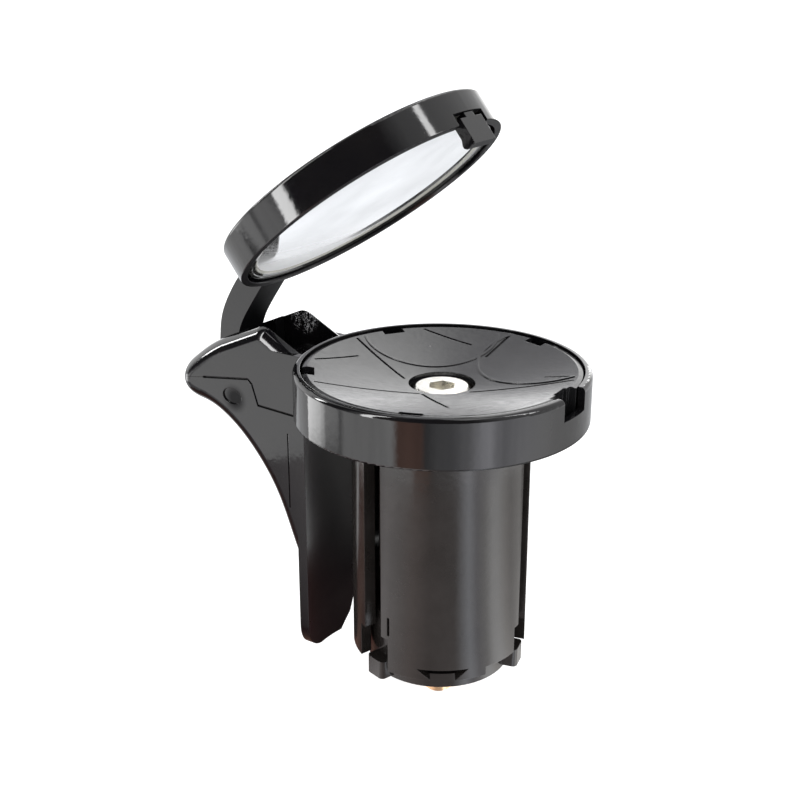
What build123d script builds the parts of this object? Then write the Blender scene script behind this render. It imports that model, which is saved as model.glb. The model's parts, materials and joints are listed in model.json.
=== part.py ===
from build123d import *
import math
import os

# Folding bar-end mirror: a round head on an expanding plug, a side bracket
# with a long fin that stands outside the grip, and a round lid that carries a
# convex mirror and folds over the head.
#
# Frame: +Z is the plug's axis, out of the handlebar. +X runs from the hinge
# to the latch. The origin is on the axis, level with the top of the gripping
# wall, just under the face that meets the bar's end. Millimetres throughout.

# ---- driving dimensions ----
HEAD_R = 18.0            # head and lid share this radius
RIM_WALL = 0.9           # wall of the head ring and of the lid
SEAT_Z = 0.3             # face that meets the end of the bar and grip
HEAD_TOP = 6.5           # top of the head ring
FLOOR_TOP = 2.1          # top of the ring's floor
PLUG_R = 11.05           # gripping wall
PLUG_BOTTOM = -30.4      # lower end of the gripping wall
SEGMENT_SPAN = 104.0     # degrees of the wall that one segment covers
SEGMENT_AZIMUTHS = (-46.0, 74.0, 194.0)
GAP_AZIMUTHS = (14.0, 134.0, 254.0)
BOLT_R = 2.0             # M4
HUB_R = 4.05             # well around the bolt head
HUB_RIM = 4.3            # height of the well's rim, the low point of the dish
FRONT_Y = -5.1           # bracket's front face
REAR_Y = 5.9             # bracket's rear face
ARM_HALF = 2.46          # half the arm's width
SLOT_HALF = 2.75         # half the fork's slot at the hinge
POCKET_Y = (-3.9, 4.5)   # pocket between the cheeks, beside the ring
PIVOT = (-30.8, 1.1)     # hinge axis in X and Z
PIN_R = 1.2
PIN_COVER = 0.8          # wall left in front of the pin
OPEN_ANGLE = 38.5        # lid's angle at rest, 0 is shut
LID_RIM = 6.6            # rim of the shut lid
LID_BACK = 10.95         # back of the shut lid
FIN_INNER_R = 18.2       # fin's face towards the grip
FIN_OUTER_R = 19.6
FIN_BOTTOM = -36.9

RUN = 0.05               # running clearance of a shaft in its hole
HINGE_RUN = 0.06         # side gap at the arm
INNER_R = HEAD_R - RIM_WALL


# ---- small helpers ----
def ring(r_in, r_out, z0, z1):
    """Flat ring about the Z axis."""
    outline = Circle(r_out) - Circle(r_in)
    return Pos(0, 0, z0) * extrude(outline, z1 - z0)


def disc(r, z0, z1):
    """Solid disc about the Z axis."""
    return Pos(0, 0, z0) * extrude(Circle(r), z1 - z0)


def block(x0, x1, y0, y1, z0, z1):
    """Box between two corners."""
    mid = ((x0 + x1) / 2, (y0 + y1) / 2, (z0 + z1) / 2)
    return Pos(*mid) * Box(x1 - x0, y1 - y0, z1 - z0)


def spin(points):
    """Revolve an outline of (radius, height) points about the Z axis."""
    outline = make_face(Plane.XZ * Polyline(*points, close=True))
    return revolve(outline, Axis.Z)


def side_prism(outline, y0, y1):
    """Extrude an outline drawn in X and Z from y0 to y1."""
    return Pos(0, y1, 0) * extrude(Plane.XZ * outline, y1 - y0)


def side_pin(r, y0, y1, x=PIVOT[0], z=PIVOT[1]):
    """Cylinder along Y."""
    return side_prism(Pos(x, z) * Circle(r), y0, y1)


def polar(r, azimuth):
    """Point at a radius and an azimuth in degrees."""
    a = math.radians(azimuth)
    return (r * math.cos(a), r * math.sin(a))


def opened(shape):
    """Swing a piece of the shut lid to its place at rest."""
    hinge = Axis((PIVOT[0], 0, PIVOT[1]), (0, -1, 0))
    return shape.rotate(hinge, OPEN_ANGLE)


# ---- plug core, bolt and washers ----
CORE_R = 5.0
CORE_BOTTOM = -18.2
NECK_R = 8.6
CORE_FLANGE = (2.35, 3.6)      # flange that holds the bracket's ring down
CORE_FLANGE_R = 12.0
GROOVE = (-1.6, -0.2)          # groove that the segments hook into
GROOVE_R = 6.0
LIP_R = 8.3
LIP_BOTTOM = -2.8
HEAD_SEAT = -0.5               # floor of the bolt head's well
KEY_R = 8.6                    # three ribs that stand in the gaps between the segments
KEY_HALF = 1.6


def plug_core():
    body = disc(CORE_R, CORE_BOTTOM, LIP_BOTTOM)
    body += disc(LIP_R, LIP_BOTTOM, GROOVE[0])
    body += disc(GROOVE_R, GROOVE[0], GROOVE[1])
    body += disc(NECK_R, GROOVE[1], CORE_FLANGE[0])
    body += disc(CORE_FLANGE_R, *CORE_FLANGE)
    for azimuth in GAP_AZIMUTHS:
        body += Rot(0, 0, azimuth) * block(0, KEY_R, -KEY_HALF, KEY_HALF, CORE_BOTTOM, LIP_BOTTOM)
    body -= disc(HUB_R, HEAD_SEAT, CORE_FLANGE[1])
    body -= disc(BOLT_R + 0.15, CORE_BOTTOM, HEAD_SEAT)
    return body


BOLT_HEAD_R = 3.45
BOLT_HEAD_TOP = 4.0
BOLT_TIP = -38.0
HEX_FLATS = 3.0
HEX_DEPTH = 2.2


def clamp_bolt():
    head = chamfer(disc(BOLT_HEAD_R, 0, BOLT_HEAD_TOP).edges().sort_by(Axis.Z)[-1], 0.3)
    shank = chamfer(disc(BOLT_R, BOLT_TIP, 0.0).edges().sort_by(Axis.Z)[0], 0.4)
    socket = extrude(RegularPolygon(HEX_FLATS / 2, 6, major_radius=False), -HEX_DEPTH)
    return head + shank - Pos(0, 0, BOLT_HEAD_TOP) * socket


def bolt_washer():
    return ring(BOLT_R + 0.15, HUB_R - 0.15, HEAD_SEAT, -0.03)


def swivel_washer():
    return ring(NECK_R + 0.3, CORE_FLANGE_R - 0.2, FLOOR_TOP + 0.03, CORE_FLANGE[0])


# ---- dished end cap ----
CAP_R = 16.85
CAP_EDGE = 6.3                 # height of the cap's rim
CAP_RIM_R = 16.3               # where the dish meets the flat rim
CAP_SKIRT_R = 15.6
CAP_UNDERSIDE = 3.65           # just clear of the core's flange, which turns under it
GROOVE_WIDTH = 0.34
GROOVE_DEPTH = 0.22
RIDGE_HEIGHT = 0.1
TOOL_SLOTS = 5
SLOT_TURN = 2.0                # azimuth of the first slot
SLOT_WIDTH = 2.8
SLOT_REACH = 1.5
LATCH_HALF = 2.5               # half the latch notch's width
LATCH_CUT = 1.1                # depth of that notch in the cap


def dish(rise):
    """The dish's curve from its hub to its rim, moved up by a rise."""
    hub = (HUB_R, HUB_RIM + rise)
    middle = (10.3, 5.17 + rise)
    rim = (CAP_RIM_R, CAP_EDGE + rise)
    return Plane.XZ * ThreePointArc(hub, middle, rim)


def dish_layer(low, high):
    """The layer between two copies of the dish's surface."""
    lower = dish(low)
    upper = dish(high)
    sides = Line(lower @ 0, upper @ 0) + Line(lower @ 1, upper @ 1)
    return revolve(make_face(lower + upper + sides), Axis.Z)


def radial_lines(width, lines):
    """Upright walls over straight lines between pairs of polar points."""
    walls = Sketch()
    for start, end in lines:
        walls += trace(Line(polar(*start), polar(*end)), width)
    return Pos(0, 0, HUB_RIM - 2) * extrude(walls, 6)


def petal_lines(width, centres):
    """Upright walls over shallow arcs that open towards the rim."""
    walls = Sketch()
    for centre in centres:
        arc = ThreePointArc(polar(15.8, centre - 33), polar(5.6, centre), polar(15.8, centre + 33))
        walls += trace(arc, width)
    return Pos(0, 0, HUB_RIM - 2) * extrude(walls, 6)


# Long grooves run from the hub to the rim, short ones lie beside their ends.
LONG_GROOVES = [
    ((4.7, 198), (15.9, 166)),
    ((4.9, 270), (15.9, 232)),
    ((4.9, 274), (11.2, 306)),
    ((4.7, 346), (15.9, 18)),
    ((12.0, 104), (15.9, 131)),
]
SHORT_GROOVES = [
    ((12.3, 28), (15.9, 23)),
    ((12.3, 181), (15.9, 202)),
    ((9.5, 87), (15.9, 89)),
]
PETALS = (128.0, 56.0)


def end_cap():
    body = spin([
        (HUB_R, CAP_UNDERSIDE), (HUB_R, HUB_RIM), (CAP_RIM_R, CAP_EDGE), (CAP_R, CAP_EDGE - 0.1),
        (CAP_R, FLOOR_TOP), (CAP_SKIRT_R, FLOOR_TOP), (CAP_SKIRT_R, CAP_UNDERSIDE),
    ])
    body -= dish_layer(0.0, 2.0)
    body -= radial_lines(GROOVE_WIDTH, LONG_GROOVES + SHORT_GROOVES) & dish_layer(-GROOVE_DEPTH, 1.0)
    body += petal_lines(GROOVE_WIDTH, PETALS) & dish_layer(-GROOVE_DEPTH, RIDGE_HEIGHT)
    slot = block(CAP_R - SLOT_REACH, CAP_R + 1, -SLOT_WIDTH / 2, SLOT_WIDTH / 2, 0, 9)
    for k in range(TOOL_SLOTS):
        body -= Rot(0, 0, SLOT_TURN + k * 360 / TOOL_SLOTS) * slot
    body -= block(CAP_R - LATCH_CUT, CAP_R + 1, -LATCH_HALF, LATCH_HALF, 0, 9)
    return body


# ---- expanding plug ----
SEGMENT_WALL = 1.5
SEGMENT_FOOT = (6.4, -1.25, -0.3)      # inner radius, bottom and top of the hook
BAND_Z = -1.8
BAND_R = PLUG_R - 0.5
BAND_WIRE = 0.38
WEDGE_SLOPE = 0.3                      # radius gained per millimetre downwards
WEDGE_TOP = (5.1, -21.9)               # radius and height of the wedge's small end
WEDGE_FLANGE = (-32.6, -30.7)
WEDGE_FLANGE_R = 9.0
WEDGE_PAD = (6.6, -24.2, 76.0)         # guides over the lugs: inner radius, top, degrees covered
LUG_R = 10.8
LUG_HALF = 1.5
LUG_TOP = -29.8
LUG_BOTTOM = -32.2
LUG_NOTCH = (2.6, -25.9)               # half width and top of the room for a lug between two segments
FOOT_NOTCH = (3.2, 1.4, -29.0)         # half widths at top and bottom, and height of the top
FOOT_NOTCH_TURN = -9.0                 # degrees from the segment's middle
CORNER_CUT = (20.0, -29.3)             # first segment only: degrees from the middle, and height of the top
RAMP_GAP = 0.12
RAMP_BOTTOM = -27.2
RAMP_HALF = 2.0


def cone_radius(z):
    """Radius of the wedge's cone at a height."""
    return WEDGE_TOP[0] + WEDGE_SLOPE * (WEDGE_TOP[1] - z)


def wall_sector(r_in, r_out, z0, z1, span):
    """Part of a tube's wall, centred on +X."""
    half = span / 2
    corner = 2 * r_out
    wedge = Polyline((0, 0), (corner, -corner * math.tan(math.radians(half))),
                     (corner, corner * math.tan(math.radians(half))), close=True)
    outline = (Circle(r_out) - Circle(r_in)) & make_face(wedge)
    return Pos(0, 0, z0) * extrude(outline, z1 - z0)


def foot_notch():
    """Dovetail notch through the lower end of a segment."""
    top_half, bottom_half, top = FOOT_NOTCH
    outline = Polyline((-top_half, top), (top_half, top), (bottom_half, PLUG_BOTTOM - 0.1),
                       (-bottom_half, PLUG_BOTTOM - 0.1), close=True)
    return Rot(0, 0, FOOT_NOTCH_TURN) * extrude(Plane.YZ * make_face(outline), PLUG_R + 1, both=True)


def expander_segment(azimuth):
    r_in = PLUG_R - SEGMENT_WALL
    body = wall_sector(r_in, PLUG_R, PLUG_BOTTOM, 0, SEGMENT_SPAN)
    foot_r, foot_z0, foot_z1 = SEGMENT_FOOT
    body += wall_sector(foot_r, r_in + 0.1, foot_z0, foot_z1, 60.0)
    top_r = cone_radius(WEDGE_TOP[1]) + RAMP_GAP
    bottom_r = cone_radius(RAMP_BOTTOM) + RAMP_GAP
    rib = Polyline((top_r, WEDGE_TOP[1]), (bottom_r, RAMP_BOTTOM), (r_in + 0.2, RAMP_BOTTOM),
                   (r_in + 0.2, WEDGE_TOP[1] + 5), (top_r, WEDGE_TOP[1] + 2), close=True)
    body += side_prism(make_face(rib), -RAMP_HALF, RAMP_HALF)
    groove = ring(BAND_R - 0.45, PLUG_R + 1, BAND_Z - 0.6, BAND_Z + 0.6)
    body -= groove
    for side in (-1, 1):
        notch = block(r_in - 3, PLUG_R + 1, -LUG_NOTCH[0], LUG_NOTCH[0], PLUG_BOTTOM - 1, LUG_NOTCH[1])
        body -= Rot(0, 0, side * 60) * notch
    catch = Rot(0, 0, 6 - SEGMENT_SPAN / 2) * block(r_in - 1, PLUG_R + 1, -0.17, 0.17, -25.4, -22.9)
    body -= catch
    body -= foot_notch()
    if azimuth == SEGMENT_AZIMUTHS[0]:
        start, top = CORNER_CUT
        corner = wall_sector(r_in - 1, PLUG_R + 1, PLUG_BOTTOM - 1, top, 40.0)
        body -= Rot(0, 0, start + 20) * corner
    return Rot(0, 0, azimuth) * body


def segment_band():
    wire = Pos(BAND_R, BAND_Z) * Circle(BAND_WIRE)
    return revolve(Plane.XZ * wire, Axis.Z)


INSERT_R = 3.0
INSERT = (-32.9, -28.4)


def expander_wedge():
    flange_low, flange_top = WEDGE_FLANGE
    body = spin([(0, WEDGE_TOP[1]), WEDGE_TOP, (cone_radius(flange_top), flange_top), (0, flange_top)])
    body += disc(WEDGE_FLANGE_R, flange_low, flange_top)
    pad_r, pad_top, pad_span = WEDGE_PAD
    for azimuth in GAP_AZIMUTHS:
        body += Rot(0, 0, azimuth) * wall_sector(pad_r, WEDGE_FLANGE_R, flange_low, pad_top, pad_span)
        lug = block(cone_radius(flange_top) - 1.5, LUG_R, -LUG_HALF, LUG_HALF, LUG_BOTTOM, LUG_TOP)
        lug = fillet(lug.edges().filter_by(Axis.Z).group_by(Axis.X)[-1], 0.6)
        body += Rot(0, 0, azimuth) * lug
    body -= disc(BOLT_R + 0.15, flange_low, WEDGE_TOP[1])
    body -= disc(INSERT_R, flange_low, INSERT[1])
    return body


def wedge_nut():
    return ring(BOLT_R + RUN, INSERT_R, *INSERT)


# ---- bracket: ring, fork and fin ----
PEAK = (-24.4, 8.6)                    # highest point of the fork's cheeks
RING_SLOPE_END = (-18.4, 5.6)          # where the cheeks come down to the ring
CREST_END = (-31.0, 5.65)              # end of the crest's straight part
NOSE = [(-33.6, 4.3), (-36.5, 2.2), (-38.15, 0.6), (-38.75, -0.85), (-38.5, -2.3), (-37.2, -3.45)]
UNDER = [(-34.5, -4.1), (-31.2, -5.5), (-28.2, -7.8), (-25.7, -10.5), (-22.7, -15.2), (-20.0, -21.8)]
FIN_START = (-19.1, -28.0)             # where the curve under the nose meets the fin
PEAK_ROUND = 2.3
CREST_ROUND = 2.0
SEAM = [(-38.6, -1.0), (-34.3, -0.2), (-26.5, 1.0), (-25.8, 0.4), (-24.9, -2.3), (-17.3, -2.6)]
KNUCKLE_R = 3.0
STOP_ANGLE = 45.0                      # further opening allowed by the fork


def nose_outline():
    """Side view of the fork and the fin's outer edge, in X and Z."""
    ring_side = (-17.0, RING_SLOPE_END[1])
    crest = Polyline(ring_side, RING_SLOPE_END, PEAK, CREST_END)
    fall = (CREST_END[0] - PEAK[0], CREST_END[1] - PEAK[1])
    nose = Spline(CREST_END, *NOSE, *UNDER, FIN_START, tangents=[fall, (0, -1)])
    back = Polyline(FIN_START, (ring_side[0], FIN_START[1]), ring_side)
    outline = make_face(crest + nose + back)
    return fillet(outline.vertices().sort_by(Axis.Y)[-1], PEAK_ROUND)


def fork_slot():
    """Room for the arm between the cheeks, from shut to wide open."""
    x, z = PIVOT
    clear = KNUCKLE_R + 0.35
    a = math.radians(180 + STOP_ANGLE)
    foot = (x + clear * math.cos(a), z + clear * math.sin(a))
    far = (foot[0] - 8, foot[1] + 8 * math.tan(math.radians(90 - STOP_ANGLE)))
    outline = Polyline(foot, far, (far[0], 12), (-17.0, 12), (-17.0, 7.1), (-21.5, 6.5), (-25.3, 3.9),
                       (-27.5, 0.9), (x, z), close=True)
    slot = side_prism(make_face(outline), -SLOT_HALF, SLOT_HALF)
    slot += side_pin(clear, -SLOT_HALF, SLOT_HALF)
    pocket = Polyline((-28.0, 12), (-17.0, 12), (-17.0, 3.9), (-24.6, 3.6), (-28.0, 1.2), close=True)
    slot += side_prism(make_face(pocket), *POCKET_Y)
    return slot


def seam_region():
    """The upper part of the front cheek, above the seam."""
    outline = Polyline(*SEAM, (-17.3, 12), (-38.6, 12), close=True)
    return side_prism(make_face(outline), FRONT_Y - 1, -SLOT_HALF)


def seam_groove():
    """Fine groove along the seam on the front face."""
    line = trace(Polyline(*SEAM[1:-1], (-18.0, -2.55)), 0.26)
    return side_prism(line, FRONT_Y - 1, FRONT_Y + 0.28)


def fin_shell():
    """The fin: part of a tube's wall with its lower corners taken off."""
    shell = ring(FIN_INNER_R, FIN_OUTER_R, FIN_BOTTOM, SEAT_Z)
    shell &= block(-FIN_OUTER_R - 1, -10, FRONT_Y, REAR_Y, FIN_BOTTOM - 1, SEAT_Z + 1)
    below = FIN_BOTTOM - 1
    far = Polyline((2.8, FIN_BOTTOM), (4.5, -34.6), (5.25, -31.9), (REAR_Y, -30.4), (REAR_Y + 1, -30.4),
                   (REAR_Y + 1, below), (2.8, below), close=True)
    near = ThreePointArc((FRONT_Y, -32.8), (-4.3, -35.2), (-1.6, FIN_BOTTOM))
    near += Polyline((-1.6, FIN_BOTTOM), (-1.6, below), (FRONT_Y - 1, below), (FRONT_Y - 1, -32.8),
                     (FRONT_Y, -32.8))
    for corner in (far, near):
        cut = make_face(Plane.YZ * corner)
        shell -= Pos(-20, 0, 0) * extrude(cut, 10, both=True)
    return shell


def fork_blank():
    """The fork before the ring and the fin join it, with its outer edges rounded."""
    nose = side_prism(nose_outline(), FRONT_Y, REAR_Y)
    rim = [e for e in nose.edges() if e.center().X < FIN_START[0]]
    rim = [e for e in rim if min(e.center().Y - FRONT_Y, REAR_Y - e.center().Y) < 0.01]
    return fillet(rim, CREST_ROUND) - fork_slot()


def hinge_bore():
    """Blind bore for the hinge pin, open at the rear face."""
    return side_pin(PIN_R, FRONT_Y + PIN_COVER, REAR_Y + 1)


def bracket():
    body = fork_blank() + fin_shell()
    body -= disc(FIN_INNER_R, FIN_BOTTOM - 1, SEAT_Z)
    head = disc(HEAD_R, SEAT_Z, HEAD_TOP)
    head = fillet(head.edges().sort_by(Axis.Z)[-1], 0.6)
    head = fillet(head.edges().sort_by(Axis.Z)[0], 0.3)
    body += head
    body -= disc(INNER_R, FLOOR_TOP, HEAD_TOP + 6)
    body -= disc(NECK_R + RUN, SEAT_Z, FLOOR_TOP)
    body -= disc(PLUG_R + 0.5, SEAT_Z - 0.1, SEAT_Z + 0.3)
    body -= block(INNER_R - 2, HEAD_R + 1, -LATCH_HALF, LATCH_HALF, HEAD_TOP - 2.7, HEAD_TOP + 1)
    body -= seam_region()
    body -= seam_groove()
    body -= hinge_bore()
    dimple = side_prism(Pos(-29.3, -1.9) * Ellipse(1.6, 1.1), FRONT_Y - 1, FRONT_Y + 0.2)
    body -= dimple
    crease = side_prism(trace(Line((-20.1, -5.2), (-20.1, -15.6)), 0.2), FRONT_Y - 1, FRONT_Y + 0.2)
    body -= crease
    return body


def hinge_cover():
    body = fork_blank() & seam_region()
    body -= disc(HEAD_R, SEAT_Z, HEAD_TOP)
    body -= disc(INNER_R, SEAT_Z, HEAD_TOP + 6)
    body -= seam_groove()
    body -= hinge_bore()
    return body


def hinge_pin():
    return side_pin(PIN_R, FRONT_Y + PIN_COVER, REAR_Y - 0.3)


def hinge_washers():
    outer = ARM_HALF + HINGE_RUN
    washer = side_pin(KNUCKLE_R - 0.3, outer, SLOT_HALF) - side_pin(PIN_R, outer, SLOT_HALF)
    return washer + mirror(washer, Plane.XZ)


# ---- lid, arm and mirror ----
MIRROR_R = 16.7
LENS_FACE = 7.35               # height of the lens rim when shut
LENS_BULGE = 0.6
SILVER = (9.0, 9.12)
PAD = (9.12, 9.7)
WINDOW_TOP = 8.1
WINDOW_HALF = 3.0


def arm_outline():
    """Side view of the arm when the lid is shut."""
    x, z = PIVOT
    a = math.radians(180 - OPEN_ANGLE)
    outer_start = (x + KNUCKLE_R * math.cos(a), z + KNUCKLE_R * math.sin(a))
    outer = Spline(outer_start, (-30.9, 5.05), (-28.5, 7.4), (-25.0, 9.25), (-21.5, 10.3), (-17.4, 10.8))
    inner = Spline((-17.4, 7.8), (-20.0, 7.1), (-23.2, 6.15), (-26.5, 4.8), (-28.5, 2.8))
    ends = Line((-17.4, 10.8), (-17.4, 7.8)) + Polyline((-28.5, 2.8), (x, z), outer_start)
    return make_face(outer + ends + inner)


def lid_housing():
    shell = disc(HEAD_R, LID_RIM, LID_BACK)
    shell = fillet(shell.edges().sort_by(Axis.Z)[-1], 0.4)
    shell = fillet(shell.edges().sort_by(Axis.Z)[0], 0.12)
    arm = side_prism(arm_outline(), -ARM_HALF, ARM_HALF)
    arm += side_pin(KNUCKLE_R, -ARM_HALF, ARM_HALF)
    body = shell + arm
    body -= disc(INNER_R, LID_RIM, PAD[1])
    body -= side_pin(PIN_R + RUN, -ARM_HALF, ARM_HALF)
    body -= block(INNER_R - 1.2, HEAD_R + 1, -WINDOW_HALF, WINDOW_HALF, LID_RIM - 1, WINDOW_TOP)
    return opened(body)


def mirror_lens():
    """Clear convex lens with a groove and a stepped rim round its edge."""
    face = LENS_FACE - LENS_BULGE
    profile = ThreePointArc((0, face), (8, face + 0.145), (15.4, LENS_FACE - 0.07))
    rest = Polyline((15.4, LENS_FACE - 0.07), (15.55, LENS_FACE + 0.15), (15.7, LENS_FACE - 0.23),
                    (16.2, LENS_FACE - 0.27), (16.3, LENS_FACE - 0.37), (MIRROR_R, LENS_FACE - 0.37),
                    (MIRROR_R, SILVER[0]), (0, SILVER[0]), (0, face))
    return opened(lid_relief(revolve(make_face(Plane.XZ * (profile + rest)), Axis.Z)))


def lid_relief(shape):
    """Cut a mirror layer back behind the latch window."""
    return shape - block(INNER_R - 1.4, HEAD_R, -WINDOW_HALF, WINDOW_HALF, LID_RIM - 1, PAD[1])


def mirror_silvering():
    return opened(lid_relief(disc(15.9, *SILVER)))


def mirror_pad():
    return opened(lid_relief(disc(MIRROR_R - 0.4, *PAD)))


TONGUE_HALF = 2.2
TONGUE_X = (16.55, 17.85)
TONGUE_TIP = 4.2
TONGUE_TOP = 7.4
NECK_HALF = 0.9                # narrow root that bends


def latch_tongue():
    x0, x1 = TONGUE_X
    body = block(x0, x1, -TONGUE_HALF, TONGUE_HALF, TONGUE_TIP, TONGUE_TOP)
    body += block(x0, x1, -NECK_HALF, NECK_HALF, TONGUE_TOP, WINDOW_TOP - 0.1)
    hook = make_face(Polyline((x0, TONGUE_TIP), (x0 - 0.3, TONGUE_TIP + 0.3), (x0 - 0.3, TONGUE_TIP + 0.6),
                              (x0, TONGUE_TIP + 1.2), close=True))
    body += side_prism(hook, -TONGUE_HALF, TONGUE_HALF)
    return opened(body)


NODES = {
    "plug_core": plug_core,
    "end_cap": end_cap,
    "bolt_washer": bolt_washer,
    "swivel_washer": swivel_washer,
    "segment_band": segment_band,
    "clamp_bolt": clamp_bolt,
    "expander_wedge": expander_wedge,
    "wedge_nut": wedge_nut,
    "bracket": bracket,
    "hinge_cover": hinge_cover,
    "hinge_pin": hinge_pin,
    "hinge_washers": hinge_washers,
    "lid_housing": lid_housing,
    "mirror_lens": mirror_lens,
    "mirror_silvering": mirror_silvering,
    "mirror_pad": mirror_pad,
    "latch_tongue": latch_tongue,
}

os.makedirs("parts", exist_ok=True)
for name, make in NODES.items():
    export_step(make(), f"parts/{name}.step")
for number, azimuth in enumerate(SEGMENT_AZIMUTHS, start=1):
    export_step(expander_segment(azimuth), f"parts/expander_segment_{number}.step")
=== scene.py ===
import json
import math

import bpy
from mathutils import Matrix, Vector


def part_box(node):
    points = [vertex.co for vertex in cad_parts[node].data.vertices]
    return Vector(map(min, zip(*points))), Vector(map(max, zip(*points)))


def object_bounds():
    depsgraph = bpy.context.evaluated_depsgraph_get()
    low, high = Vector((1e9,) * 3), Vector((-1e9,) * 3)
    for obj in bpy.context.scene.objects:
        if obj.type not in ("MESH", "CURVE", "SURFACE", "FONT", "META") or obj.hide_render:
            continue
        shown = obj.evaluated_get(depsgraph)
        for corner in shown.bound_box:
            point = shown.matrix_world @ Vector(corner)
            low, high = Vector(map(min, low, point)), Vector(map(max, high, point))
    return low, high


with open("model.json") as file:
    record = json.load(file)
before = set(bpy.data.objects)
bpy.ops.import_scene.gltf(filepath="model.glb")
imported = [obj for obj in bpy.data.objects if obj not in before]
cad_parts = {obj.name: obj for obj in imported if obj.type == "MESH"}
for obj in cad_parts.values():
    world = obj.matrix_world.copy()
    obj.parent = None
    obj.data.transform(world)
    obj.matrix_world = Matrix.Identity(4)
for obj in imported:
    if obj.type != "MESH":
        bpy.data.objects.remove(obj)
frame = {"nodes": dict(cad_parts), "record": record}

# Looks of the folding bar-end mirror: materials for the CAD nodes, and a studio around them.
# Metres throughout, and MM scales what is given in millimetres.
# +Z runs out of the handlebar, +X from hinge to latch.

MM = 0.001
cad_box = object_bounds()


# ---- camera ----
CAMERA_AZIMUTH = math.radians(34.15)      # turn of the view about +Z, 0 looks along +Y
CAMERA_ELEVATION = math.radians(20.35)
CAMERA_DISTANCE = 156.3 * MM
CAMERA_TARGET = Vector((-4.19, -2.84, 2.08)) * MM
SENSOR = 36.0
LENS = 57.96

TOWARDS_CAMERA = Vector((
    math.cos(CAMERA_ELEVATION) * math.sin(CAMERA_AZIMUTH),
    -math.cos(CAMERA_ELEVATION) * math.cos(CAMERA_AZIMUTH),
    math.sin(CAMERA_ELEVATION),
))


def make_camera():
    data = bpy.data.cameras.new("camera")
    data.lens = LENS
    data.sensor_width = SENSOR
    data.clip_start = 0.001
    data.clip_end = 20.0
    camera = bpy.data.objects.new("camera", data)
    camera.location = CAMERA_TARGET + TOWARDS_CAMERA * CAMERA_DISTANCE
    camera.rotation_euler = (-TOWARDS_CAMERA).to_track_quat("-Z", "Y").to_euler()
    bpy.context.scene.collection.objects.link(camera)
    bpy.context.scene.camera = camera


# ---- node helpers ----
class Nodes:
    """A short way to add and join nodes in one tree."""

    def __init__(self, tree):
        self.tree = tree
        tree.nodes.clear()

    def add(self, kind, settings=None, **inputs):
        node = self.tree.nodes.new(kind)
        for key, value in (settings or {}).items():
            setattr(node, key, value)
        for key, value in inputs.items():
            self.feed(node, key.replace("_", " "), value)
        return node

    def feed(self, node, socket, value):
        target = node.inputs[socket] if isinstance(socket, int) else self.find(node, socket)
        if isinstance(value, bpy.types.NodeSocket):
            self.tree.links.new(value, target)
        else:
            target.default_value = value

    @staticmethod
    def find(node, name):
        for socket in node.inputs:
            if socket.name.lower() == name.lower() and socket.enabled:
                return socket
        raise KeyError(name)

    def math(self, operation, a, b=0.0):
        node = self.add("ShaderNodeMath", {"operation": operation})
        self.feed(node, 0, a)
        self.feed(node, 1, b)
        return node.outputs[0]

    def span(self, value, low, high, to_low=0.0, to_high=1.0, smooth=False):
        node = self.add("ShaderNodeMapRange", {"interpolation_type": "SMOOTHSTEP" if smooth else "LINEAR"})
        for index, number in enumerate((value, low, high, to_low, to_high)):
            self.feed(node, index, number)
        return node.outputs[0]

    def mix(self, factor, a, b):
        node = self.add("ShaderNodeMix", {"data_type": "RGBA"})
        self.feed(node, 0, factor)
        self.feed(node, 6, a)
        self.feed(node, 7, b)
        return node.outputs[2]

    def noise(self, place, scale, detail=2.0, roughness=0.5):
        node = self.add("ShaderNodeTexNoise", Vector=place, Scale=scale, Detail=detail, Roughness=roughness)
        return node.outputs[0]

    def distance(self, a, b):
        node = self.add("ShaderNodeVectorMath", {"operation": "DISTANCE"})
        self.feed(node, 0, a)
        self.feed(node, 1, b)
        return node.outputs["Value"]

    def dot(self, a, b):
        node = self.add("ShaderNodeVectorMath", {"operation": "DOT_PRODUCT"})
        self.feed(node, 0, a)
        self.feed(node, 1, b)
        return node.outputs["Value"]

    def split(self, vector):
        return self.add("ShaderNodeSeparateXYZ", Vector=vector).outputs

    def azimuth(self, x, y):
        return self.math("DEGREES", self.math("ARCTAN2", y, x))


def rgba(r, g, b):
    return (r, g, b, 1.0)


def material(name):
    made = bpy.data.materials.new(name)
    made.use_nodes = True
    nodes = Nodes(made.node_tree)
    output = nodes.add("ShaderNodeOutputMaterial")
    shader = nodes.add("ShaderNodeBsdfPrincipled")
    nodes.feed(output, "Surface", shader.outputs[0])
    place = nodes.add("ShaderNodeTexCoord").outputs["Object"]
    return made, nodes, shader, place


def bump(nodes, height, distance, strength=1.0, edge=0.0):
    """Normal with relief, on edges softened by a small radius."""
    node = nodes.add("ShaderNodeBump", Height=height, Distance=distance, Strength=strength)
    if edge:
        nodes.feed(node, "Normal", nodes.add("ShaderNodeBevel", {"samples": 6}, Radius=edge).outputs[0])
    return node.outputs[0]


def dust(nodes, place, scale, size):
    """Mask of sparse specks of dust: the middles of a few cells of a Voronoi pattern."""
    cells = nodes.add("ShaderNodeTexVoronoi", Vector=place, Scale=scale)
    speck = nodes.span(cells.outputs["Distance"], size, size * 0.6)
    pick = nodes.add("ShaderNodeSeparateColor", Color=cells.outputs["Color"]).outputs[0]
    return nodes.math("MULTIPLY", speck, nodes.math("GREATER_THAN", pick, DUST_PICK))


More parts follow.
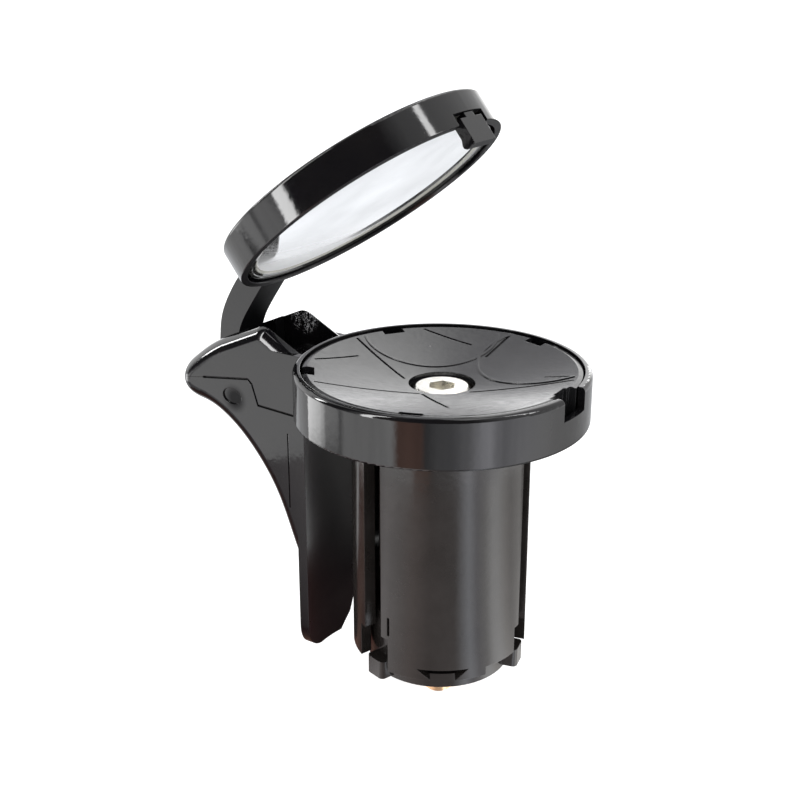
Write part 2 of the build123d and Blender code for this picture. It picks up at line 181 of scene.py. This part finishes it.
# ---- materials ----
OPEN_ANGLE = math.radians(38.5)           # lid at rest
PIVOT = Vector((-30.8, 0.0, 1.1)) * MM    # on the lid's hinge axis
LENS_REACH = 30.8 * MM                    # from the hinge axis to the lens's middle, along the lid
LENS_RISE = 5.65 * MM                     # and square to the lid
LENS_CLEAR_R = 15.45 * MM                 # silvered area of the lens
LENS_AXIS = Vector((-math.sin(OPEN_ANGLE), 0.0, math.cos(OPEN_ANGLE)))
LENS_ACROSS = Vector((math.cos(OPEN_ANGLE), 0.0, math.sin(OPEN_ANGLE)))
LENS_CENTRE = PIVOT + LENS_ACROSS * LENS_REACH + LENS_AXIS * LENS_RISE
PIN_SHADE_SPOT = (-28.9, -5.1, -2.2)              # millimetres, on the fork's near cheek over the pin: painted shade, where the reflection is dimmed
GLINT_SPOT = (-24.5, 2.6, 7.4)                # millimetres, beside the far cheek's inner face, where glints are painted
ARM_INSIDE = (0.80, 0.0, -0.60)           # the way the arm's inner side faces
DUST_COLOUR = rgba(0.55, 0.54, 0.52)
DUST_PICK = 0.93                          # share of the cells that stay clean
# colour of the painted glints (highlights)
GLINT_COLOUR = rgba(0.85, 0.85, 0.87)
PLASTIC_IOR = 1.5
GLASS_IOR = 1.5
RIM_HAZE = 0.4                            # transmission of the lens's rim


def patch(nodes, place, centre, radius, soft):
    """Mask of a round patch about a point, in millimetres."""
    away = nodes.distance(place, tuple(value * MM for value in centre))
    return nodes.span(away, (radius + soft) * MM, (radius - soft) * MM, smooth=True)


def add_painted_shade_glints_and_matt(made, nodes):
    """A painted shade spot over the hinge pin, a matt inner side of the arm, and painted glints
    (highlights) beside the far cheek.
    """
    shader = made.node_tree.nodes["Principled BSDF"]
    coordinates = nodes.add("ShaderNodeTexCoord")
    place = coordinates.outputs["Object"]
    # Painted shade: a round patch over the pin's dimple where the specular reflection is turned down.
    pin_shade = patch(nodes, place, PIN_SHADE_SPOT, 1.5, 0.8)
    where = patch(nodes, place, GLINT_SPOT, 2.7, 0.5)
    matt = nodes.span(nodes.dot(coordinates.outputs["Normal"], ARM_INSIDE), 0.7, 0.85)
    dulled = nodes.math("MAXIMUM", pin_shade, matt)
    nodes.feed(shader, "Specular IOR Level", nodes.span(dulled, 0.0, 1.0, 0.5, 0.1))
    rough = shader.inputs["Roughness"].links[0].from_socket
    nodes.feed(shader, "Roughness", nodes.math("ADD", rough, nodes.math("MULTIPLY", matt, 0.45)))
    # Painted glints: sparse pale specks in the base colour stand for highlights on a textured glossy face.
    grain = nodes.math("GREATER_THAN", nodes.noise(place, 3800.0, 3.0, 0.7), 0.54)
    cluster = nodes.span(nodes.noise(place, 900.0, 2.0, 0.5), 0.38, 0.56)
    painted_glints = nodes.math("MULTIPLY", nodes.math("MULTIPLY", grain, cluster), where)
    below = shader.inputs["Base Color"].links[0].from_socket
    nodes.feed(shader, "Base Color", nodes.mix(painted_glints, below, GLINT_COLOUR))


def moulded_plastic(name, dark, light, gloss, peel, with_shade_glints_and_matt=False):
    """Injection-moulded black plastic: faint flow marks, orange peel, dust and, where asked, painted shade
    over the pin, painted glints and a matt inner side of the arm.
    """
    made, nodes, shader, place = material(name)
    flow = nodes.noise(place, 160.0, 3.0, 0.6)
    smudge = nodes.noise(place, 700.0, 4.0, 0.65)
    grain = nodes.noise(place, 9000.0, 2.0, 0.6)
    ripple = nodes.noise(place, 1500.0, 1.0, 0.4)
    specks = dust(nodes, place, 420.0, 0.045)
    base = nodes.mix(nodes.span(flow, 0.35, 0.65), dark, light)
    base = nodes.mix(nodes.math("MULTIPLY", specks, 0.8), base, DUST_COLOUR)
    rough = nodes.span(smudge, 0.3, 0.75, gloss[0], gloss[1])
    rough = nodes.math("ADD", rough, nodes.math("MULTIPLY", specks, 0.5))
    waves = nodes.math("MULTIPLY", ripple, peel)
    relief = nodes.math("ADD", waves, nodes.math("MULTIPLY", grain, 0.12 * peel))
    nodes.feed(shader, "Base Color", base)
    nodes.feed(shader, "Roughness", rough)
    nodes.feed(shader, "Normal", bump(nodes, relief, 0.02 * MM, 0.5, 0.08 * MM))
    shader.inputs["IOR"].default_value = PLASTIC_IOR
    if with_shade_glints_and_matt:
        add_painted_shade_glints_and_matt(made, nodes)
    return made


def screw_steel(name, warm_reflection_from, warm_reflection_to):
    """Bright plated steel with turning marks; towards the tip a warm brass tone is painted in, a painted
    reflection of the brown table.
    """
    made, nodes, shader, place = material(name)
    x, y, z = nodes.split(place)
    squared = nodes.math("ADD", nodes.math("MULTIPLY", x, x), nodes.math("MULTIPLY", y, y))
    radius = nodes.math("SQRT", squared)
    rings = nodes.add("ShaderNodeTexNoise", {"noise_dimensions": "1D"}, W=radius, Scale=14000.0, Detail=2.0)
    wear = nodes.noise(place, 1100.0, 4.0, 0.6)
    steel = nodes.mix(nodes.span(wear, 0.35, 0.7), rgba(0.93, 0.91, 0.86), rgba(0.78, 0.76, 0.70))
    # Painted reflection: the warm brass tone towards the tip stands for the brown table reflected in the
    # steel.
    base = nodes.mix(nodes.span(z, warm_reflection_from, warm_reflection_to), steel, rgba(0.86, 0.60, 0.36))
    nodes.feed(shader, "Base Color", base)
    nodes.feed(shader, "Roughness", nodes.span(wear, 0.3, 0.75, 0.16, 0.34))
    nodes.feed(shader, "Normal", bump(nodes, rings.outputs[0], 0.01 * MM, 0.35, 0.06 * MM))
    shader.inputs["Metallic"].default_value = 1.0
    return made


def plain_metal(name, bright, dull, rough):
    """Machined metal with patches of duller wear."""
    made, nodes, shader, place = material(name)
    wear = nodes.noise(place, 1400.0, 4.0, 0.6)
    nodes.feed(shader, "Base Color", nodes.mix(nodes.span(wear, 0.3, 0.7), bright, dull))
    nodes.feed(shader, "Roughness", nodes.span(wear, 0.3, 0.7, rough[0], rough[1]))
    nodes.feed(shader, "Normal", bump(nodes, nodes.noise(place, 5200.0), 0.01 * MM, 0.4, 0.05 * MM))
    shader.inputs["Metallic"].default_value = 1.0
    return made


def soft_matter(name, dark, light, rough, scale):
    """Rubber, foam and thin shim sheet: dull, with a fine pore pattern."""
    made, nodes, shader, place = material(name)
    pores = nodes.noise(place, scale, 3.0, 0.7)
    nodes.feed(shader, "Base Color", nodes.mix(nodes.span(pores, 0.35, 0.65), dark, light))
    nodes.feed(shader, "Roughness", nodes.span(pores, 0.3, 0.7, rough - 0.1, rough + 0.1))
    nodes.feed(shader, "Normal", bump(nodes, pores, 0.03 * MM, 0.6))
    return made


def lens_glass(name):
    """Clear lens over its silvering: mirror-like inside its stepped rim, cream and then near-black towards
    the rim's outer edge.
    Towards the hinge the silver is hazier and mostly not metallic, so its pale colour shows diffusely as a
    painted reflection of a pale room."""
    made, nodes, shader, place = material(name)
    out = nodes.add("ShaderNodeVectorMath", {"operation": "SUBTRACT"})
    nodes.feed(out, 0, place)
    nodes.feed(out, 1, tuple(LENS_CENTRE))
    along = nodes.dot(out.outputs[0], tuple(LENS_AXIS))
    far = nodes.distance(out.outputs[0], (0.0, 0.0, 0.0))
    squared = nodes.math("SUBTRACT", nodes.math("MULTIPLY", far, far), nodes.math("MULTIPLY", along, along))
    radius = nodes.math("SQRT", squared)
    silvered = nodes.span(radius, LENS_CLEAR_R + 0.1 * MM, LENS_CLEAR_R - 0.1 * MM)
    across = nodes.dot(out.outputs[0], tuple(LENS_ACROSS))
    full_mirror = nodes.span(across, -15.0 * MM, -3.0 * MM, smooth=True)
    haze = nodes.noise(place, 240.0, 3.0, 0.6)
    # The rim's colour goes from cream to near-black towards its outer edge.
    rim_darkening = nodes.span(radius, LENS_CLEAR_R + 0.2 * MM, LENS_CLEAR_R + 0.4 * MM)
    glass = nodes.mix(rim_darkening, rgba(0.90, 0.89, 0.82), rgba(0.05, 0.05, 0.048))
    silver = nodes.mix(haze, rgba(0.90, 0.915, 0.93), rgba(0.95, 0.96, 0.975))
    nodes.feed(shader, "Base Color", nodes.mix(silvered, glass, silver))
    # Painted reflection: towards the hinge metallic falls so the pale base colour shows diffusely, in place
    # of the arm's dark reflection.
    mirrored = nodes.span(full_mirror, 0.0, 1.0, 0.12, 0.9)
    nodes.feed(shader, "Metallic", nodes.math("MULTIPLY", silvered, mirrored))
    nodes.feed(shader, "Transmission Weight", nodes.span(silvered, 0.0, 1.0, RIM_HAZE, 0.0))
    film = nodes.span(full_mirror, 0.0, 0.6, 0.42, 0.0, smooth=True)
    polish = nodes.span(haze, 0.4, 0.8, 0.02, 0.05)
    nodes.feed(shader, "Roughness", nodes.math("ADD", polish, nodes.math("MULTIPLY", silvered, film)))
    shader.inputs["IOR"].default_value = GLASS_IOR
    return made


def mirror_coat(name):
    """The silvering behind the lens, faintly hazy."""
    made, nodes, shader, place = material(name)
    haze = nodes.noise(place, 300.0, 3.0, 0.6)
    nodes.feed(shader, "Base Color", nodes.mix(haze, rgba(0.90, 0.92, 0.91), rgba(0.95, 0.96, 0.96)))
    nodes.feed(shader, "Roughness", nodes.span(haze, 0.4, 0.8, 0.01, 0.04))
    shader.inputs["Metallic"].default_value = 1.0
    return made


def make_materials():
    """One detailed material for each material slot in the record."""
    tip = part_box("clamp_bolt")[0].z
    return {
        "gloss_black": moulded_plastic(
            "gloss_black", rgba(0.004, 0.004, 0.005), rgba(0.007, 0.0065, 0.007), (0.04, 0.10), 0.5,
            with_shade_glints_and_matt=True),
        "cap_black": moulded_plastic(
            "cap_black", rgba(0.009, 0.009, 0.010), rgba(0.014, 0.014, 0.015), (0.14, 0.24), 0.9),
        "plug_black": moulded_plastic(
            "plug_black", rgba(0.015, 0.013, 0.012), rgba(0.023, 0.020, 0.019), (0.11, 0.2), 0.8),
        "bolt_steel": screw_steel("bolt_steel", tip + 6 * MM, tip + 1 * MM),
        "pin_steel": plain_metal(
            "pin_steel", rgba(0.62, 0.62, 0.62), rgba(0.48, 0.48, 0.49), (0.2, 0.4)),
        "insert_brass": plain_metal(
            "insert_brass", rgba(0.80, 0.52, 0.28), rgba(0.62, 0.36, 0.18), (0.18, 0.35)),
        "shim_plastic": soft_matter(
            "shim_plastic", rgba(0.04, 0.04, 0.04), rgba(0.06, 0.06, 0.06), 0.5, 3000.0),
        "band_rubber": soft_matter(
            "band_rubber", rgba(0.010, 0.010, 0.010), rgba(0.018, 0.018, 0.018), 0.6, 2500.0),
        "lens_clear": lens_glass("lens_clear"),
        "mirror_silver": mirror_coat("mirror_silver"),
        "pad_foam": soft_matter(
            "pad_foam", rgba(0.02, 0.02, 0.02), rgba(0.045, 0.045, 0.045), 0.8, 3500.0),
    }


def dress_nodes(materials):
    """Give each CAD node the detailed material of its slot in the record."""
    for part in frame["record"]["subparts"]:
        slots = frame["nodes"][part["node"]].data.materials
        slots.clear()
        slots.append(materials[part["material_slot"]])


# ---- stage ----
FLOOR_SIZE = 6.0
FLOOR_GAP = 0.15 * MM
FLOOR_GLOW = 0.86                         # lifts the object's shadow off the floor
NEAR_TABLE_R = 88.0 * MM
NEAR_BEHIND_R = 30.0 * MM                 # behind the object, where the mirror looks
BEHIND = (100, 180)                       # azimuths of that stretch, in degrees
OUTLINE_STEP = 4                          # degrees between the card's corners


def flat_sheet(name, corners):
    """Flat polygon with corners in X and Y, part of the stage."""
    mesh = bpy.data.meshes.new(name)
    mesh.from_pydata([(x, y, 0) for x, y in corners], [], [list(range(len(corners)))])
    made = bpy.data.objects.new(name, mesh)
    bpy.context.scene.collection.objects.link(made)
    return made


def make_floor():
    """Plain pale floor that glossy rays don't see."""
    half = FLOOR_SIZE / 2
    floor = flat_sheet("floor", [(-half, -half), (half, -half), (half, half), (-half, half)])
    floor.location.z = cad_box[0][2] - FLOOR_GAP
    floor.visible_glossy = False
    made, nodes, shader, place = material("floor_paper")
    grain = nodes.noise(place, 900.0, 3.0, 0.6)
    nodes.feed(shader, "Base Color", nodes.mix(grain, rgba(0.60, 0.60, 0.60), rgba(0.64, 0.64, 0.64)))
    nodes.feed(shader, "Emission Color", rgba(1.0, 1.0, 1.0))
    shader.inputs["Emission Strength"].default_value = FLOOR_GLOW
    shader.inputs["Roughness"].default_value = 0.9
    shader.inputs["Specular IOR Level"].default_value = 0.1
    floor.data.materials.append(made)


RAMP_GAIN = 4.0                           # a ramp's own colours stop at 1
GREY, DARK = (1.9, 1.9, 1.9), (0.06, 0.05, 0.05)
BROWN = (0.9, 0.50, 0.38)
MAROON = (0.12, 0.05, 0.045)
MIRRORED = (0.93, 0.945, 0.97)


def even(azimuth, level):
    """A colourless stop."""
    return (azimuth, level, level, level)


# What glossy faces see, fitted by colour samples to the reflections in the photograph:
# the table far from the object, the table close to it, and what is above the table.
FAR_TABLE = [
    even(-180, 0.9), even(-163, 1.2), even(-160, 0.25), even(-157, 0.25), even(-154, 0.5), even(-141, 0.55),
    (-136, *GREY), (-126, *GREY), even(-120, 2.0), even(-95, 2.5), (-90, *BROWN), (-73, *BROWN),
    (-69, 0.42, 0.42, 0.43), (-60, 0.8, 0.8, 0.82), (-48, 1.0, 1.0, 1.04), (-37, 1.6, 1.6, 1.66),
    (-27, 3.2, 3.2, 3.4), (-21, 3.2, 3.2, 3.4), (-11, 1.8, 1.8, 1.9), (9, 2.5, 2.5, 2.6), even(28, 2.6),
    even(51, 1.8), even(70, 1.3), (95, *MIRRORED), (150, *MIRRORED), even(180, 0.9),
]
NEAR_TABLE = [
    (-180, *MAROON), (-168, 0.22, 0.12, 0.09), (-158, *MAROON), (-140, 0.65, 0.60, 0.61),
    (-126, 1.6, 1.52, 1.52), (-108, 1.25, 1.17, 1.16), (-88, 1.0, 0.84, 0.80), (-70, 0.50, 0.43, 0.42),
    (-40, 0.52, 0.48, 0.48), (-24, 2.6, 2.7, 2.9), (-14, 1.4, 1.4, 1.5), even(-4, 1.8), even(6, 3.1),
    even(14, 2.9), (26, 1.8, 1.75, 1.7), (36, 1.1, 1.07, 1.05), (58, 1.0, 0.98, 0.96), (64, *DARK),
    (80, *DARK), (110, *MAROON), (180, *MAROON),
]
SKY = [
    even(-180, 2.0), even(-171, 1.6), even(-158, 0.06), even(-136, 0.06), even(-118, 0.9), (-108, *DARK),
    (-34, *DARK), even(-8, 0.8), even(30, 1.0), even(90, 1.1), even(112, 2.4), even(119.5, 2.1),
    (124, 0.75, 0.75, 0.78), (140, 0.75, 0.75, 0.78), even(165, 1.6), even(180, 2.0),
]
HORIZON = (-9.0, -3.0)                    # degrees of elevation where the table gives way to the sky

# bright panels: azimuth from and to, elevation from and to, softness in degrees, brightness
PANELS = [
    (-118, -109, -13, 55, 1.2, 14.0),
    (17, 25, 28, 62, 1.5, 12.0),
    (-165, -159, 6, 28, 1.0, 24.0),
    (95, 150, -6, 8, 5.0, 1.3),
    (-30, 40, 66, 88, 8.0, 2.5),
    (-190, -141, -22.5, -10, 2.0, 1.5),
    (-190, -157, -22.5, -10, 2.0, 2.4),
]


def azimuth_ramp(nodes, azimuth, stops):
    """Colour by azimuth in degrees, from (azimuth, red, green, blue) stops, divided by RAMP_GAIN."""
    ramp = nodes.add("ShaderNodeValToRGB", Fac=nodes.span(azimuth, -180.0, 180.0))
    elements = ramp.color_ramp.elements
    for index, (at, *colour) in enumerate(stops):
        element = elements[index] if index < len(elements) else elements.new(1.0)
        element.position = (at + 180.0) / 360.0
        element.color = (*[value / RAMP_GAIN for value in colour], 1.0)
    return ramp.outputs[0]


def make_near_table():
    """What glossy faces see of the table close to the object. Seen in reflections only."""
    outline = []
    for angle in range(0, 360, OUTLINE_STEP):
        reach = NEAR_BEHIND_R if BEHIND[0] <= angle < BEHIND[1] else NEAR_TABLE_R
        turn = math.radians(angle)
        outline.append((reach * math.cos(turn), reach * math.sin(turn)))
    card = flat_sheet("near_table", outline)
    card.location.z = cad_box[0][2] - FLOOR_GAP / 2
    for ray in ("camera", "diffuse", "shadow", "transmission"):
        setattr(card, "visible_" + ray, False)
    made = bpy.data.materials.new("near_table")
    made.use_nodes = True
    nodes = Nodes(made.node_tree)
    output = nodes.add("ShaderNodeOutputMaterial")
    place = nodes.add("ShaderNodeTexCoord").outputs["Object"]
    x, y, _ = nodes.split(place)
    colour = azimuth_ramp(nodes, nodes.azimuth(x, y), NEAR_TABLE)
    emission = nodes.add("ShaderNodeEmission", Color=colour, Strength=RAMP_GAIN)
    nodes.feed(output, "Surface", emission.outputs[0])
    card.data.materials.append(made)


def window(nodes, value, low, high, soft):
    """1 between low and high, falling to 0 over soft on both sides."""
    rise = nodes.span(value, low - soft, low + soft, smooth=True)
    fall = nodes.span(value, high - soft, high + soft, 1.0, 0.0, smooth=True)
    return nodes.math("MULTIPLY", rise, fall)


def make_light():
    """Even white light for diffuse faces; glossy faces see the ramps and panels by direction."""
    world = bpy.data.worlds.new("studio")
    world.use_nodes = True
    nodes = Nodes(world.node_tree)
    output = nodes.add("ShaderNodeOutputWorld")
    way = nodes.add("ShaderNodeTexCoord").outputs["Generated"]
    x, y, z = nodes.split(way)
    azimuth = nodes.azimuth(x, y)
    elevation = nodes.math("DEGREES", nodes.math("ARCSINE", z))
    low = azimuth_ramp(nodes, azimuth, FAR_TABLE)
    mottle = nodes.span(nodes.noise(way, 9.0, 4.0, 0.6), 0.35, 0.65, 0.90, 1.10)
    high = azimuth_ramp(nodes, azimuth, SKY)
    mottled = nodes.math("MULTIPLY", mottle, RAMP_GAIN)
    ground = nodes.add("ShaderNodeBackground", Color=low, Strength=mottled)
    sky = nodes.add("ShaderNodeBackground", Color=high, Strength=RAMP_GAIN)
    lit = nodes.add("ShaderNodeMixShader")
    nodes.feed(lit, 0, nodes.span(elevation, *HORIZON, smooth=True))
    nodes.feed(lit, 1, ground.outputs[0])
    nodes.feed(lit, 2, sky.outputs[0])
    total = lit.outputs[0]
    for az0, az1, el0, el1, soft, strength in PANELS:
        sideways = window(nodes, azimuth, az0, az1, soft)
        upright = window(nodes, elevation, el0, el1, soft)
        glow = nodes.math("MULTIPLY", nodes.math("MULTIPLY", sideways, upright), strength)
        panel = nodes.add("ShaderNodeBackground", Color=rgba(1, 1, 1), Strength=glow)
        joined = nodes.add("ShaderNodeAddShader")
        nodes.feed(joined, 0, total)
        nodes.feed(joined, 1, panel.outputs[0])
        total = joined.outputs[0]
    plain = nodes.add("ShaderNodeBackground", Color=rgba(1, 1, 1), Strength=1.0)
    pick = nodes.add("ShaderNodeMixShader")
    nodes.feed(pick, 0, nodes.add("ShaderNodeLightPath").outputs["Is Glossy Ray"])
    nodes.feed(pick, 1, plain.outputs[0])
    nodes.feed(pick, 2, total)
    nodes.feed(output, "Surface", pick.outputs[0])
    bpy.context.scene.world = world
    bpy.context.scene.view_settings.view_transform = "Standard"


make_camera()
dress_nodes(make_materials())
make_floor()
make_near_table()
make_light()
